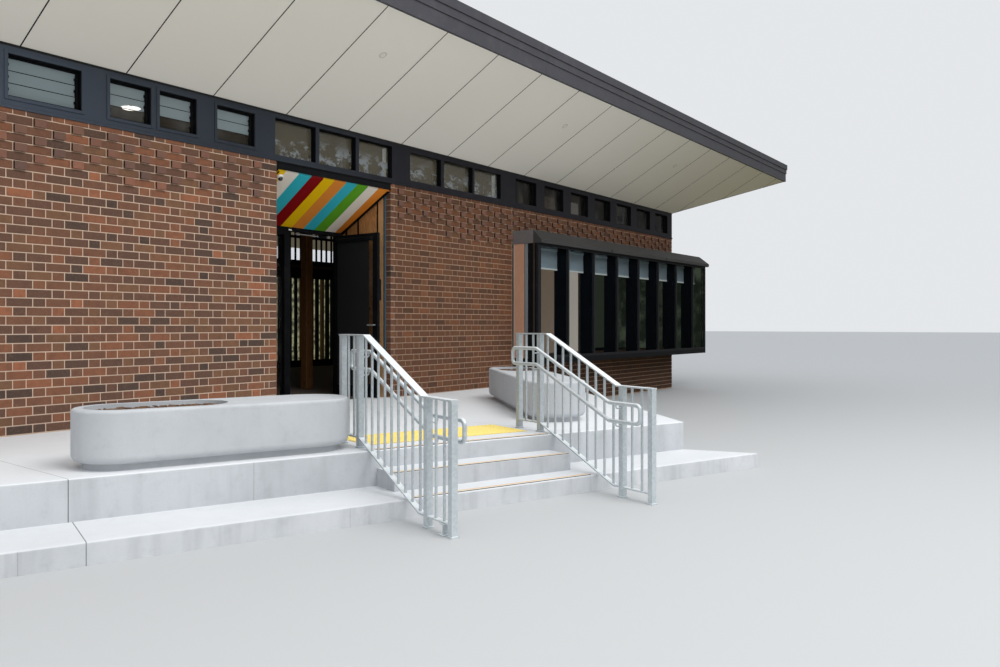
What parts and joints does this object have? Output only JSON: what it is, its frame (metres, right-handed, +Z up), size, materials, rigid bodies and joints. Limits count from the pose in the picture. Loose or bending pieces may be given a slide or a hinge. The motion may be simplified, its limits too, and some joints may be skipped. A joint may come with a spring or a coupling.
{
  "type": "school building with entrance terrace",
  "caption": "Low brick school building with high window band, flared roof edge, corner bay window, recessed striped entrance and a raised terrace with railed steps.",
  "frame": {"origin": "under the centre of the whole building and its terrace, at ground level", "axes": "+X along the front wall to the right seen from outside, +Y from the front into the building, +Z up"},
  "size_m": [22.2, 15.5572, 5.484],
  "materials": {
    "brick": "matte",
    "concrete": "matte",
    "floor": "matte",
    "dark_cladding": "satin",
    "dark_frame": "satin",
    "glass": "clear",
    "galvanised": "satin",
    "soffit": "matte",
    "fascia": "satin",
    "roofing": "matte",
    "lining": "matte",
    "striped_board": "satin",
    "bay_metal": "satin",
    "blind": "matte",
    "timber": "satin",
    "steel": "satin",
    "pad": "matte",
    "nosing": "matte",
    "planter": "matte",
    "soil": "matte",
    "white_plastic": "gloss",
    "ceiling": "matte",
    "partition": "matte"
  },
  "bodies": {
    "building": {"floor_slab": "floor", "entry_threshold": "concrete", "front_wall_left": "brick", "front_wall_middle": "brick", "bay_base_wall": "brick", "bay_head_wall": "brick", "right_base_wall": "brick", "right_head_wall": "brick", "right_wall": "brick", "left_wall": "brick", "rear_wall": "brick", "rear_window_frame": "dark_frame", "rear_window_glass": "glass", "clerestory_front": "dark_cladding", "clerestory_rear": "dark_cladding", "clerestory_ends": "dark_cladding", "clerestory_glass_front": "glass", "clerestory_glass_rear": "glass", "clerestory_glass_ends": "glass", "ceiling": "ceiling", "inner_partition": "partition", "entry_lintel": "dark_cladding", "entry_linings": "lining", "entry_soffit": "striped_board", "dome_camera": "white_plastic", "sidelight_frame": "dark_frame", "sidelight_glass": "glass", "door_frame_head": "dark_frame", "hinge_post": "dark_frame", "hinge_pins": "steel", "bay_floor_front": "bay_metal", "bay_floor_side": "bay_metal", "bay_frame_front": "bay_metal", "bay_frame_side": "bay_metal", "bay_glass": "glass", "bay_fins": "bay_metal", "bay_blinds": "blind", "bay_side_panel": "lining", "bay_seat": "timber", "bay_hood_front": "bay_metal", "bay_hood_side": "bay_metal", "long_soffits": "soffit", "end_soffits": "soffit", "long_fascias": "fascia", "end_fascias": "fascia", "roof_deck": "roofing", "terrace": "concrete", "lower_step": "concrete", "middle_step": "concrete", "nosing_strips": "nosing", "tactile_pad": "pad", "left_planter": "planter", "right_planter": "planter", "planter_soil": "soil", "balustrades": "galvanised", "handrails": "galvanised"},
    "door": {"door_leaf": "dark_frame", "door_glass": "glass", "door_handles": "steel", "leaf_hinges": "steel"}
  },
  "joints": [
    {"name": "door_hinge", "type": "hinge", "parent": "building", "child": "door", "pos_m": [-1.426, -1.4924, 0.44], "axis": [0, 0, -1], "range_deg": [0, 90]}
  ]
}
